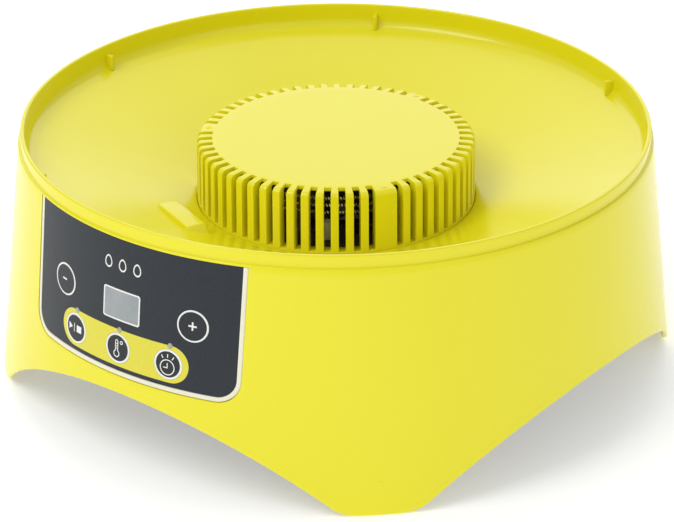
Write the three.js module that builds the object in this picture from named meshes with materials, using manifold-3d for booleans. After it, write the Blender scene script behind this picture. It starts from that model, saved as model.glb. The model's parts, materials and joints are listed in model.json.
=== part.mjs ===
// Powered base of a round forced-air incubator: a flared four-legged housing with a stacking rim,
// a sloping tray bowl, a slotted hot-air tower in the middle and a control panel at the front.
// Millimetres, +Z up, origin on the ground under the centre, control panel facing -Y.
// Azimuths are measured from the front (-Y) towards +X.

import * as THREE from 'three';
import { mergeVertices } from 'three/addons/utils/BufferGeometryUtils.js';
import Module from 'manifold-3d';

const wasm = await Module();
wasm.setup();

// ---------------------------------------------------------------- driving dimensions

const GAP = 0.3;                  // running or fitting gap between neighbouring pieces
const SIDES = 60;                 // facets round the large turned pieces

const RIM_TOP = 131;              // height of the rim that a tray stacks on
const RIM_OUTER = 160;            // rim outer radius at its top
const RIM_INNER = 157.8;
const STEP_Z = 124.4;             // small stacking step under the rim
const SKIRT_TOP = 161.3;          // skirt radius at the step
const SKIRT_FOOT = 175;           // skirt radius carried down to the ground
const HEM_Z = 0.6;                // plastic hem, just clear of the ground
const WALL = 2.4;

const BOWL_OUTER = { r: 155.8, z: 118 };
const BOWL_INNER = { r: 71.8, z: 88.4 };
const BOWL_THICK = 2.5;

const ARCH_RADIUS = 158;          // arch between two legs, seen square on
const ARCH_TOP = 45;

const TOWER_R = 71.1;
const TOWER_TOP = 120.5;
const TOWER_WALL = 6;             // depth of the slats, measured inwards
const SLOT_COUNT = 60;
const SLOT_WIDTH = 3.5;
const SLOT_START_R = 63.2;        // slots begin here on the top face
const SLOT_FLOOR = 89;
const POSTS = [10, 30, 50];       // slot places left solid, one every third of a turn
const SLOT_TURN = -1.3;           // degrees that the slots are turned from the front

const PANEL = { half: 65.3, bottom: 54.9, corner: 10 };
const BORDER = { half: 65, bottom: 55.2, corner: 9.7 };
const FILM = { half: 62.7, bottom: 57.5, corner: 7.5 };
const PANEL_SHALLOW = 1.6;        // depths below the skirt surface: beside the rim wall,
const PANEL_POCKET = 3.3;         // lower down,
const PANEL_BACK = 5.3;           // and the back of the thickened wall
const PLATE_TOP = 113.7;          // the bezel's backing plate ends here, under the bowl

const UPPER_KEY = { x: 40.4, z: 89.8, r: 8.0 };
const LOWER_KEY = { x: 29.7, z: 67.9, r: 7.6 };
const LOWER_ROW_X = -1.2;         // the lower row of keys sits a little left of the middle
const KEY_TRAVEL = 0.8;
const WINDOW = { halfX: 11.5, halfZ: 7.9, z: 89.9, corner: 1.3 };
const LAMP = { z: 77.5, r: 1.3 };
const LAMP_ROW_X = -0.5;

const BOARD_DEPTH = 20;           // front of the control board behind the foremost panel line
const BOARD_SCREWS = [[-62, 8], [62, 8], [-62, -26], [62, -26]];   // across and up the panel
const COVER_Z = 46.3;             // underside of the bottom cover
const COVER_THICK = 2.4;
const COVER_R = 165.2;
const BOSS_R = 140;               // radius of the four cover screws
const FOOT_R = 165;               // radius of the four feet
const BLISTER_AZIMUTH = -21.5;    // low blister in the bowl beside the tower
const GLAND_Z = 66;               // mains inlet at the rear

const SLOPE = (SKIRT_FOOT - SKIRT_TOP) / STEP_Z;
const TILT = Math.atan(SLOPE);
const skirtRadius = (z) => SKIRT_FOOT - SLOPE * z;
const bowlZ = (r) =>
  BOWL_INNER.z + (BOWL_OUTER.z - BOWL_INNER.z) * (r - BOWL_INNER.r) / (BOWL_OUTER.r - BOWL_INNER.r);

// ---------------------------------------------------------------- materials

const plastic = (color, roughness = 0.45) =>
  new THREE.MeshStandardMaterial({ color, roughness, metalness: 0 });
const metal = (color, roughness = 0.35) =>
  new THREE.MeshStandardMaterial({ color, roughness, metalness: 1 });

const YELLOW = plastic(0xe2db38, 0.4);
const CREAM = plastic(0xefeeda, 0.4);
const SLATE = plastic(0x3c414b, 0.5);
const SMOKE = plastic(0x9aa0a4, 0.2);
const BLACK = plastic(0x232325, 0.6);
const RUBBER = plastic(0x1c1c1c, 0.9);
const GREEN = plastic(0x2f6b43, 0.5);
const MICA = plastic(0xc9bda0, 0.7);
const WHITE = plastic(0xeeeeea, 0.5);
const BLUE = plastic(0x2d4f8e, 0.5);
const STEEL = metal(0xb4b6b8);
const DARK_STEEL = metal(0x6d6f73, 0.5);
const COPPER = metal(0xb8693a, 0.4);

// ---------------------------------------------------------------- solid modelling helpers

function solid(geometry) {
  const bare = geometry.clone();
  bare.deleteAttribute('normal');
  bare.deleteAttribute('uv');
  const merged = mergeVertices(bare, 1e-4);
  const p = merged.attributes.position;
  const corner = (i) => new THREE.Vector3().fromBufferAttribute(p, i);
  const triangles = [];
  let volume = 0;
  for (let i = 0; i < merged.index.count; i += 3) {
    const [a, b, c] = [0, 1, 2].map((k) => merged.index.getX(i + k));
    if (a === b || b === c || c === a) continue;
    triangles.push([a, b, c]);
    volume += corner(a).dot(corner(b).cross(corner(c)));
  }
  const facing = volume > 0 ? triangles : triangles.map(([a, b, c]) => [a, c, b]);
  return new wasm.Manifold(new wasm.Mesh({
    numProp: 3,
    vertProperties: new Float32Array(p.array),
    triVerts: new Uint32Array(facing.flat()),
  }));
}

const join = (first, ...rest) => rest.reduce((sum, next) => sum.add(next), first);
const cut = (first, ...tools) => tools.reduce((sum, tool) => sum.subtract(tool), first);

function geometryOf(body) {
  const mesh = body.getMesh();
  const geometry = new THREE.BufferGeometry();
  geometry.setAttribute('position', new THREE.BufferAttribute(new Float32Array(mesh.vertProperties), 3));
  geometry.setIndex(new THREE.BufferAttribute(new Uint32Array(mesh.triVerts), 1));
  geometry.computeVertexNormals();
  return geometry;
}

// Turned about Z: profile is a closed loop of [radius, z], or runs from the axis to the axis.
function turned(profile, sides = SIDES) {
  const points = profile.map(([r, z]) => new THREE.Vector2(r, z));
  if (profile[0][0] > 0) points.push(points[0].clone());
  return solid(new THREE.LatheGeometry(points, sides).rotateX(Math.PI / 2));
}

const tube = (inner, outer, z0, z1, sides = 24) =>
  turned([[inner, z0], [outer, z0], [outer, z1], [inner, z1]], sides);
const rod = (r, z0, z1, sides = 16) => turned([[0, z0], [r, z0], [r, z1], [0, z1]], sides);

function block(x0, x1, y0, y1, z0, z1) {
  const box = new THREE.BoxGeometry(x1 - x0, y1 - y0, z1 - z0);
  return solid(box.translate((x0 + x1) / 2, (y0 + y1) / 2, (z0 + z1) / 2));
}

const prism = (shape, depth, curveSegments = 8) =>
  new THREE.ExtrudeGeometry(shape, { depth, bevelEnabled: false, curveSegments });

// Outline drawn in X and Z, carried along Y from `back` to `front`.
const throughY = (shape, front, back, segments = 8) =>
  solid(prism(shape, back - front, segments).rotateX(Math.PI / 2).translate(0, back, 0));

// Round wire or cable along a smooth curve through the given points.
function wire(points, radius, steps, sides = 6) {
  const section = new THREE.Shape();
  for (let i = 0; i < sides; i += 1) {
    const angle = i / sides * 2 * Math.PI;
    const corner = [radius * Math.cos(angle), radius * Math.sin(angle)];
    if (i === 0) section.moveTo(...corner);
    else section.lineTo(...corner);
  }
  const path = new THREE.CatmullRomCurve3(points);
  return solid(new THREE.ExtrudeGeometry(section, { steps, bevelEnabled: false, extrudePath: path }));
}

const at = (body, x, y, z) => body.translate([x, y, z]);
const turn = (body, azimuth) => body.rotate([0, 0, azimuth]);
const around = (make, azimuths) => azimuths.map((azimuth) => turn(make(), azimuth));
const LEGS = [45, 135, 225, 315];
const THIRDS = [60, 180, 300];

function roundedRect(halfX, halfZ, centreZ, corner) {
  const shape = new THREE.Shape();
  const [x, low, high] = [halfX, centreZ - halfZ, centreZ + halfZ];
  shape.moveTo(-x + corner, low);
  shape.lineTo(x - corner, low);
  shape.absarc(x - corner, low + corner, corner, -Math.PI / 2, 0);
  shape.lineTo(x, high - corner);
  shape.absarc(x - corner, high - corner, corner, 0, Math.PI / 2);
  shape.lineTo(-x + corner, high);
  shape.absarc(-x + corner, high - corner, corner, Math.PI / 2, Math.PI);
  shape.lineTo(-x, low + corner);
  shape.absarc(-x + corner, low + corner, corner, Math.PI, Math.PI * 1.5);
  return shape;
}

// Panel outline: square top corners under the step, round lower corners.
function panelShape({ half, bottom, corner }, top) {
  const shape = new THREE.Shape();
  shape.moveTo(-half, top);
  shape.lineTo(-half, bottom + corner);
  shape.absarc(-half + corner, bottom + corner, corner, Math.PI, Math.PI * 1.5);
  shape.lineTo(half - corner, bottom);
  shape.absarc(half - corner, bottom + corner, corner, -Math.PI / 2, 0);
  shape.lineTo(half, top);
  return shape;
}

// Layer of the flared skirt between two depths below its surface.
const skirtLayer = (near, far, z0 = 40, z1 = STEP_Z) => turned([
  [skirtRadius(z0) - far, z0], [skirtRadius(z0) - near, z0],
  [skirtRadius(z1) - near, z1], [skirtRadius(z1) - far, z1],
]);

// Frame of the panel: local X across, local Y up the face, local Z out of it.
const panelFrame = new THREE.Matrix4()
  .makeRotationX(Math.PI / 2 - TILT)
  .setPosition(0, -skirtRadius(WINDOW.z), WINDOW.z);
const upFace = (z) => (z - WINDOW.z) / Math.cos(TILT);
const onPanel = (body) => body.transform(panelFrame.elements);

// How far the curved panel surface lies behind its foremost line.
const faceDrop = (x, z) => skirtRadius(z) - Math.sqrt(skirtRadius(z) ** 2 - x * x);

// ---------------------------------------------------------------- assembly

const incubatorBase = new THREE.Group();
incubatorBase.name = 'incubator_base';

function addPiece(name, material, body, parent = incubatorBase) {
  const mesh = new THREE.Mesh(geometryOf(body), material);
  mesh.name = name;
  parent.add(mesh);
  return mesh;
}

function addAt(name, material, body, [x, y, z], parent = incubatorBase) {
  const mesh = addPiece(name, material, body, parent);
  mesh.position.set(x, y, z);
  return mesh;
}

// ---------------------------------------------------------------- control panel layout

const KEYS = [
  { name: 'minus', ...UPPER_KEY, x: -UPPER_KEY.x },
  { name: 'plus', ...UPPER_KEY },
  { name: 'start_stop', ...LOWER_KEY, x: LOWER_ROW_X - LOWER_KEY.x },
  { name: 'temperature', ...LOWER_KEY, x: LOWER_ROW_X },
  { name: 'timer', ...LOWER_KEY, x: LOWER_ROW_X + LOWER_KEY.x },
];
const LAMPS = [
  { name: 'start_stop', x: LAMP_ROW_X - LOWER_KEY.x },
  { name: 'temperature', x: LAMP_ROW_X },
  { name: 'timer', x: LAMP_ROW_X + LOWER_KEY.x },
];

// Straight hole square to the board, from well in front of the panel to behind it.
const panelHole = (x, z, r, sides) => onPanel(at(rod(r, -25, 8, sides), x, upFace(z), 0));

function panelHoles(clearance) {
  return [
    ...KEYS.map((key) => panelHole(key.x, key.z, key.r + clearance, 18)),
    ...LAMPS.map((lamp) => panelHole(lamp.x, LAMP.z, LAMP.r + clearance, 8)),
    throughY(roundedRect(WINDOW.halfX + clearance, WINDOW.halfZ + clearance, WINDOW.z,
      WINDOW.corner), -190, -140, 2),
  ];
}

// ---------------------------------------------------------------- housing

function archCutter() {
  const centreZ = ARCH_TOP - ARCH_RADIUS;
  const footX = 115.5;
  const [joinX, joinZ] = [106.6, centreZ + Math.sqrt(ARCH_RADIUS ** 2 - 106.6 ** 2)];
  const edge = Math.asin(joinX / ARCH_RADIUS);
  const shape = new THREE.Shape();
  shape.moveTo(-footX, -5);
  shape.lineTo(footX, -5);
  shape.lineTo(footX, HEM_Z - 0.1);
  shape.quadraticCurveTo(111.2, HEM_Z, joinX, joinZ);
  shape.absarc(0, centreZ, ARCH_RADIUS, Math.PI / 2 - edge, Math.PI / 2 + edge);
  shape.quadraticCurveTo(-111.2, HEM_Z, -footX, HEM_Z - 0.1);
  return throughY(shape, -190, 190, 14);
}

function mainHousing() {
  const underside = (r) => bowlZ(r) - BOWL_THICK;
  const shell = turned([
    [skirtRadius(HEM_Z), HEM_Z],
    [SKIRT_TOP, STEP_Z - 0.5],
    [SKIRT_TOP - 0.4, STEP_Z],
    [RIM_OUTER, STEP_Z],
    [RIM_OUTER, RIM_TOP - 0.7],
    [RIM_OUTER - 0.7, RIM_TOP],
    [RIM_INNER, RIM_TOP],
    [RIM_INNER, BOWL_OUTER.z + 2],
    [BOWL_OUTER.r, BOWL_OUTER.z],
    [BOWL_INNER.r, BOWL_INNER.z],
    [BOWL_INNER.r, BOWL_INNER.z - BOWL_THICK],
    [154, underside(154)],
    [skirtRadius(113) - WALL, 113],
    [skirtRadius(HEM_Z) - WALL, HEM_Z],
  ]);

  const archX = archCutter();
  const archY = turn(archCutter(), 90);
  const skirt = cut(shell, archX, archY);

  const trayRib = () => block(-1, 1, -RIM_INNER - 0.5, -RIM_INNER + 4, BOWL_OUTER.z - 0.6, 126);
  const trayRibs = around(trayRib, [30, 90, 150, 210, 270, 330]);

  const backing = skirtLayer(WALL - 0.3, PANEL_BACK, 52, 117)
    .intersect(throughY(panelShape({ half: 67.3, bottom: 52.8, corner: 12 }, 122), -190, -120));
  const deepPocket = skirtLayer(-3, PANEL_POCKET, 50, PLATE_TOP + GAP);
  const pocket = join(deepPocket, skirtLayer(-3, PANEL_SHALLOW, 100))
    .intersect(throughY(panelShape(PANEL, STEP_Z), -190, -120));
  const window = skirtLayer(-3, PANEL_BACK + 1, 50, 120)
    .intersect(throughY(roundedRect(59.5, 27, 84, 4), -190, -120, 3));

  const coverBoss = () =>
    at(rod(4.6, COVER_Z + COVER_THICK + GAP, underside(BOSS_R) + 0.6, 10), 0, -BOSS_R, 0);
  const coverHole = () => at(rod(1.8, COVER_Z, COVER_Z + 16, 8), 0, -BOSS_R, 0);
  const grilleBoss = () => at(rod(3.4, 85.8, bowlZ(80) - 1.4, 10), 0, -80, 0);
  const grilleHole = () => at(rod(1.5, 84, bowlZ(80) - 2.2, 8), 0, -80, 0);
  const footPad = () => cut(
    join(
      at(rod(5.6, 1.6, 12, 12), 0, -FOOT_R, 0),
      block(-1.2, 1.2, -180, -FOOT_R, 1.6, 26).intersect(skirtLayer(1, 40, 1, 30)),
    ),
    at(rod(2.4, 0, 8.5, 8), 0, -FOOT_R, 0),
  );
  // Screw bosses that carry the control board behind the panel.
  const boardBosses = BOARD_SCREWS.map(([x, y]) =>
    onPanel(at(rod(3.2, -BOARD_DEPTH + GAP, -14, 10), x, y, 0)));
  const boardHoles = BOARD_SCREWS.map(([x, y]) =>
    onPanel(at(rod(1.3, -BOARD_DEPTH - 1, -16.4, 8), x, y, 0)));

  // Raised blister in the bowl over the thermal cut-out, lying along the tower.
  const blister = turn(at(solid(new THREE.CylinderGeometry(1, 1.2, 7, 4, 1)
    .rotateY(Math.PI / 4)
    .rotateX(Math.PI / 2)
    .scale(Math.SQRT2 * 15.6, Math.SQRT2 * 5, 1)), 0, -89.4, 94.8), BLISTER_AZIMUTH);
  const blisterHollow = turn(block(-12.5, 12.5, -92.8, -86.6, 86, 96.3), BLISTER_AZIMUTH);

  const glandHole = solid(new THREE.CylinderGeometry(5.6, 5.6, 30, 16)
    .translate(0, skirtRadius(GLAND_Z) - 5, GLAND_Z));

  return cut(
    join(skirt, ...trayRibs, backing, blister, ...around(coverBoss, LEGS),
      ...around(grilleBoss, THIRDS), ...around(footPad, LEGS), ...boardBosses),
    pocket, window, blisterHollow, glandHole, ...around(grilleHole, THIRDS),
    ...around(coverHole, LEGS), ...boardHoles,
  );
}

// ---------------------------------------------------------------- hot-air tower

function outletGrille() {
  const flangeTop = 85.5;
  const flangeLow = 82.9;
  const inner = TOWER_R - TOWER_WALL;
  const cup = turned([
    [0, TOWER_TOP - 2.2],
    [inner, TOWER_TOP - 2.2],
    [inner, 87],
    [68.6, 87],
    [68.6, flangeLow],
    [86, flangeLow],
    [86, flangeTop],
    [TOWER_R + 0.4, flangeTop],
    [TOWER_R, TOWER_TOP - 3.4],
    [TOWER_R - 0.8, TOWER_TOP - 1.6],
    [TOWER_R - 2.8, TOWER_TOP - 0.8],
    [SLOT_START_R + 0.6, TOWER_TOP],
    [0, TOWER_TOP],
  ], 60);
  const slots = [];
  for (let i = 0; i < SLOT_COUNT; i += 1) {
    if (POSTS.includes(i)) continue;
    const slot = block(-SLOT_WIDTH / 2, SLOT_WIDTH / 2, -TOWER_R - 3, -SLOT_START_R, SLOT_FLOOR, 125);
    slots.push(turn(slot, SLOT_TURN + i * 360 / SLOT_COUNT));
  }
  const screwHoles = around(() => at(rod(1.9, 80, 88, 10), 0, -80, 0), THIRDS);
  return cut(cup, ...slots, ...screwHoles);
}

// ---------------------------------------------------------------- panel pieces

function panelBezel() {
  const border = skirtLayer(0.3, 1.3).intersect(throughY(panelShape(BORDER, STEP_Z - GAP), -190, -120));
  const plate = skirtLayer(1.2, 3.0).intersect(throughY(panelShape(BORDER, PLATE_TOP), -190, -120));
  const filmPocket = skirtLayer(-2, 1.6).intersect(
    throughY(panelShape({ half: FILM.half + GAP, bottom: FILM.bottom - GAP, corner: FILM.corner }, 130),
      -190, -120));
  return cut(join(border, plate), filmPocket, ...panelHoles(GAP));
}

function panelOverlay() {
  const film = skirtLayer(0.5, 1.3).intersect(throughY(panelShape(FILM, STEP_Z - GAP), -190, -120));
  return cut(film, ...panelHoles(GAP));
}

function displayWindow() {
  return skirtLayer(0.4, 3.0).intersect(
    throughY(roundedRect(WINDOW.halfX, WINDOW.halfZ, WINDOW.z, WINDOW.corner), -190, -140, 2));
}

function keyCap({ x, z, r }) {
  const retainer = r + 0.7;
  const behindBezel = faceDrop(Math.abs(x) + retainer, z) + 3.6;
  const face = onPanel(at(rod(r, -behindBezel - 0.4, 8, 18), x, upFace(z), 0))
    .intersect(skirtLayer(0.2, 30));
  const rear = join(
    rod(retainer, -behindBezel - 1.4, -behindBezel, 18),
    rod(1.6, -BOARD_DEPTH + 3.6 + KEY_TRAVEL + 0.4, -behindBezel - 1, 8),
  );
  return join(face, onPanel(at(rear, x, upFace(z), 0)));
}

function lightGuide({ x }) {
  const y = upFace(LAMP.z);
  const stem = onPanel(at(rod(LAMP.r, -BOARD_DEPTH + 1.4, 8, 8), x, y, 0))
    .intersect(skirtLayer(0.4, 30));
  const collar = rod(2, -BOARD_DEPTH + 1.4, -BOARD_DEPTH + 4.4, 8);
  return join(stem, onPanel(at(collar, x, y, 0)));
}

function controlBoard() {
  const sheet = block(-65.5, 65.5, -32, 13, -BOARD_DEPTH - 1.6, -BOARD_DEPTH);
  const holes = BOARD_SCREWS.map(([x, y]) => at(rod(1.7, -30, -10, 8), x, y, 0));
  const lampY = upFace(LAMP.z);
  const lamps = LAMPS.map(({ x }) =>
    block(x - 1.6, x + 1.6, lampY - 1, lampY + 1, -BOARD_DEPTH - 0.2, -BOARD_DEPTH + 1));
  const controller = block(-9, 9, -14, 4, -BOARD_DEPTH - 3.4, -BOARD_DEPTH - 1.4);
  return onPanel(cut(join(sheet, ...lamps, controller), ...holes));
}

function displayModule() {
  const digits = block(-12.6, 12.6, -9.4, 9.4, -11.6, -4.6);
  const legs = [-1, 1].map((side) =>
    block(-10, 10, side * 8 - 0.5, side * 8 + 0.5, -BOARD_DEPTH + GAP, -11.4));
  return onPanel(join(digits, ...legs));
}

const tactSwitch = ({ x, z }) => {
  const y = upFace(z);
  return onPanel(block(x - 3.1, x + 3.1, y - 3.1, y + 3.1, -BOARD_DEPTH + GAP, -BOARD_DEPTH + 3.4));
};

// ---------------------------------------------------------------- bottom cover and feet

function bottomCover() {
  const top = COVER_Z + COVER_THICK;
  const tray = turned([
    [0, COVER_Z], [COVER_R, COVER_Z], [COVER_R, COVER_Z + 6], [COVER_R - 2.2, COVER_Z + 6],
    [COVER_R - 2.2, top], [0, top],
  ], 48);
  const mountPost = () => at(rod(4, top - 0.4, MOUNT_Z - GAP, 10), 0, -56, 0);
  const boardPost = (x, y) => at(rod(3.4, top - 0.4, 55, 8), x, y, 0);
  const intake = [];
  for (let i = 0; i < 18; i += 1) {
    intake.push(turn(block(-1.9, 1.9, -50, -22, COVER_Z - 2, top + 1), i * 20 + 10));
  }
  return cut(
    join(tray, ...around(mountPost, THIRDS), ...POWER_POSTS.map(([x, y]) => boardPost(x, y))),
    ...intake,
    ...around(() => at(rod(2.1, COVER_Z - 2, top + 2, 8), 0, -BOSS_R, 0), LEGS),
    ...around(() => at(rod(4.3, COVER_Z - 2, COVER_Z + 0.9, 8), 0, -BOSS_R, 0), LEGS),
    ...around(() => at(rod(1.8, COVER_Z + 1, 60, 8), 0, -56, 0), THIRDS),
  );
}

// Pan-head screw standing head down: head below z = 0, shank above it.
const screw = (headR, headH, shankR, length) => turned([
  [0, -headH], [headR * 0.8, -headH], [headR, 0], [shankR, 0], [shankR, length], [0, length],
], 8);

const rubberFoot = () => turned([
  [0, 0], [5.4, 0], [5.4, 1.3], [2.1, 1.3], [2.1, 7], [0, 7],
], 12);

const cordGland = () => cut(
  join(
    solid(new THREE.CylinderGeometry(7.5, 7.5, 1, 16).translate(0, 169.4, GLAND_Z)),
    solid(new THREE.CylinderGeometry(5.3, 5.3, 9, 16).translate(0, 164.6, GLAND_Z)),
  ),
  solid(new THREE.CylinderGeometry(3.2, 3.2, 30, 12).translate(0, 165, GLAND_Z)),
);

// ---------------------------------------------------------------- motor, fan and heater

const SHAFT_R = 2;
const CORE = { z0: 64, z1: 78 };
const MOUNT_Z = 55.3;             // underside of the motor's spider
const FAN_R = 46;

function motorStator() {
  const core = block(-24, 42, -25, 25, CORE.z0, CORE.z1);
  const bore = rod(13.3, CORE.z0 - 1, CORE.z1 + 1, 18);
  const slotWindow = block(18, 30, -15, 15, CORE.z0 - 1, CORE.z1 + 1);
  const neck = block(10, 19, -2, 2, CORE.z0 - 1, CORE.z1 + 1);
  return cut(core, bore, slotWindow, neck);
}

const motorWinding = () => cut(
  block(20.6, 51, -14, 14, 58, 84.3),
  block(29.7, 42.3, -15, 15, CORE.z0 - GAP, CORE.z1 + GAP),
);

const motorRotor = () => cut(
  rod(12.7, CORE.z0, CORE.z1, 18),
  rod(SHAFT_R + GAP, CORE.z0 - 1, CORE.z1 + 1, 8),
);

function bearingBracket(outward) {
  const bridge = join(
    block(-6, 6, -24, 24, 4, 6),
    block(-6, 6, -24, -20.5, 0.3, 4.2),
    block(-6, 6, 20.5, 24, 0.3, 4.2),
    rod(6, 1.6, 7.6, 12),
  );
  const bracket = cut(bridge, rod(SHAFT_R + GAP, 0, 10, 8));
  return outward > 0 ? bracket : bracket.mirror([0, 0, 1]);
}

function motorMount() {
  const ring = tube(9, 22, MOUNT_Z, MOUNT_Z + 2.4, 18);
  const arm = () => block(-4.5, 4.5, -60, -20, MOUNT_Z, MOUNT_Z + 2.4);
  const holes = around(() => at(rod(2, 50, 60, 8), 0, -56, 0), THIRDS);
  return cut(join(ring, ...around(arm, THIRDS)), ...holes);
}

function fanImpeller() {
  const plate = turned([
    [SHAFT_R + GAP, 92], [7, 92], [7, 104.8], [FAN_R, 104.8], [FAN_R, 106.4], [SHAFT_R + GAP, 106.4],
  ], 24);
  const stiffener = tube(FAN_R - 5, FAN_R, 90.5, 92, 24);
  const blade = () => block(-0.7, 0.7, -19, 0, 90.5, 105)
    .rotate([0, 0, 28]).translate([0, -26, 0]);
  const blades = Array.from({ length: 14 }, (_, i) => turn(blade(), i * 360 / 14));
  return join(plate, stiffener, ...blades).intersect(rod(FAN_R, 80, 110, 24));
}

const fanNut = () => cut(rod(4.2, 106.8, 110, 6), rod(SHAFT_R + GAP, 100, 112, 8));

function airDuct() {
  const duct = turned([
    [66, COVER_Z + COVER_THICK + GAP], [68.2, COVER_Z + COVER_THICK + GAP], [68.2, 86.6],
    [48, 86.6], [48, 84.6], [66, 84.6],
  ], 36);
  return cut(duct, block(-72, -60, -7, 9, 60, 68), LEAD_PASSAGE);
}

const COIL = { r: 60.5, wire: 1.5, z0: 104.2, pitch: 3.8, turns: 3 };
const LEAD_PASSAGE = block(-58.5, -52, -9, -3, 80, 92);

function coilTube(radius, sides, stepsPerTurn = 18) {
  const steps = COIL.turns * stepsPerTurn;
  const points = [];
  for (let i = 0; i <= steps; i += 1) {
    const angle = Math.PI + i / stepsPerTurn * 2 * Math.PI;
    points.push(new THREE.Vector3(
      COIL.r * Math.cos(angle), COIL.r * Math.sin(angle), COIL.z0 + COIL.pitch * i / stepsPerTurn));
  }
  return wire(points, radius, steps, sides);
}

function heaterFrame() {
  const ring = tube(51, 64.4, 87, 88.6, 24);
  const card = () => block(-0.8, 0.8, -57.6, -53, 88, 116.6);
  return cut(join(ring, ...around(card, [20, 90, 150, 210, 255, 330])), LEAD_PASSAGE);
}

const thermalCutout = () => turn(block(-9, 9, -92.2, -87.2, 90.4, 95.8), BLISTER_AZIMUTH);
const temperatureSensor = () => turn(at(rod(2.2, 88.9, 98.6, 10), 0, -55.4, 0), 33.7);

// ---------------------------------------------------------------- leads held inside the base

const route = (...points) => points.map(([x, y, z]) => new THREE.Vector3(x, y, z));

const heaterLead = () => wire(route(
  [-79.5, -6, 58.6], [-74, -4, 62], [-66, -3, 63.5], [-57, -5, 70],
  [-55.2, -6, 86], [-55.4, -5, 97], [-57.4, -2.6, 101.6],
), 1.1, 16, 5);
const motorLead = () => wire(route(
  [-79.5, 2, 58.6], [-74, 3, 62], [-66, 4, 63.5], [-46, 34, 64],
  [-4, 46, 66], [36, 40, 66], [46.5, 14.6, 70],
), 1.1, 16, 5);
const panelCable = () => wire(route(
  [-34, -141, 63.5], [-52, -128, 58], [-84, -72, 60], [-100, -44, 61], [-104, -29, 58],
), 2, 14, 6);

// ---------------------------------------------------------------- power electronics

const POWER_POSTS = [[-132, -20], [-132, 36], [-82, -20], [-82, 36]];
const POWER_Z = 55.3;

function powerBoard() {
  const holes = POWER_POSTS.map(([x, y]) => at(rod(1.7, 50, 60, 8), x, y, 0));
  return cut(block(-138, -76, -26, 42, POWER_Z, POWER_Z + 1.6), ...holes);
}

// ---------------------------------------------------------------- put together

addPiece('main_housing', YELLOW, mainHousing());
addPiece('outlet_grille', YELLOW, outletGrille());
addPiece('panel_bezel', CREAM, panelBezel());
addPiece('panel_overlay', SLATE, panelOverlay());
addPiece('display_window', SMOKE, displayWindow());
for (const key of KEYS) {
  addPiece(`key_${key.name}`, SLATE, keyCap(key));
  addPiece(`switch_${key.name}`, BLACK, tactSwitch(key));
}
for (const lamp of LAMPS) addPiece(`light_guide_${lamp.name}`, SMOKE, lightGuide(lamp));
addPiece('display_module', BLACK, displayModule());
addPiece('control_board', GREEN, controlBoard());

const boardSide = new THREE.Group();
panelFrame.decompose(boardSide.position, boardSide.quaternion, boardSide.scale);
incubatorBase.add(boardSide);
BOARD_SCREWS.forEach(([x, y], i) => {
  const seat = [x, y, -BOARD_DEPTH - 1.6 - GAP];
  addAt(`board_screw_${i + 1}`, STEEL, screw(3, 1.8, 1, 5), seat, boardSide);
});

addPiece('bottom_cover', BLACK, bottomCover());
addPiece('air_duct', BLACK, airDuct());
LEGS.forEach((azimuth, i) => {
  const leg = new THREE.Group();
  leg.rotation.z = THREE.MathUtils.degToRad(azimuth);
  incubatorBase.add(leg);
  addAt(`rubber_foot_${i + 1}`, RUBBER, rubberFoot(), [0, -FOOT_R, 0], leg);
  addAt(`cover_screw_${i + 1}`, STEEL, screw(3.8, 2.2, 1.5, 14), [0, -BOSS_R, COVER_Z + 0.6], leg);
});
THIRDS.forEach((azimuth, i) => {
  const third = new THREE.Group();
  third.rotation.z = THREE.MathUtils.degToRad(azimuth);
  incubatorBase.add(third);
  addAt(`grille_screw_${i + 1}`, STEEL, screw(3.4, 2, 1.2, 6), [0, -80, 82.6], third);
});

addPiece('motor_mount', STEEL, motorMount());
addPiece('motor_stator', DARK_STEEL, motorStator());
addPiece('motor_winding', COPPER, motorWinding());
addAt('motor_bracket_lower', STEEL, bearingBracket(-1), [0, 0, CORE.z0]);
addAt('motor_bracket_upper', STEEL, bearingBracket(1), [0, 0, CORE.z1]);
addPiece('motor_rotor', STEEL, motorRotor());
addPiece('motor_shaft', STEEL, rod(SHAFT_R, 56, 111, 8));
addPiece('fan_impeller', BLACK, fanImpeller());
addPiece('fan_nut', STEEL, fanNut());
addPiece('heater_frame', MICA, heaterFrame());
addPiece('heater_coil', STEEL, coilTube(COIL.wire, 6));

addPiece('thermal_cutout', WHITE, thermalCutout());
addPiece('temperature_sensor', WHITE, temperatureSensor());
addPiece('heater_lead', WHITE, heaterLead());
addPiece('motor_lead', BLACK, motorLead());
addPiece('panel_cable', WHITE, panelCable());
addPiece('cord_gland', BLACK, cordGland());

addPiece('power_board', GREEN, powerBoard());
addPiece('relay', BLUE, block(-132, -113, -8, 8, POWER_Z + 1.9, POWER_Z + 17));
addPiece('transformer', DARK_STEEL, block(-112, -88, 8, 38, POWER_Z + 1.9, POWER_Z + 27));
addAt('filter_capacitor', BLACK, rod(6.5, 0, 16, 16), [-94, -12, POWER_Z + 1.9]);
addPiece('terminal_block', WHITE, block(-135, -118, 14, 34, POWER_Z + 1.9, POWER_Z + 12));

export default incubatorBase;
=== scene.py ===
# Looks of the powered base of a round egg incubator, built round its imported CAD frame.
# Shapes are laid out in millimetres and written out in metres. Azimuths run from -Y towards +X.

import json
import math

import bmesh
import bpy
from mathutils import Matrix, Vector
from mathutils.geometry import delaunay_2d_cdt


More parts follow.
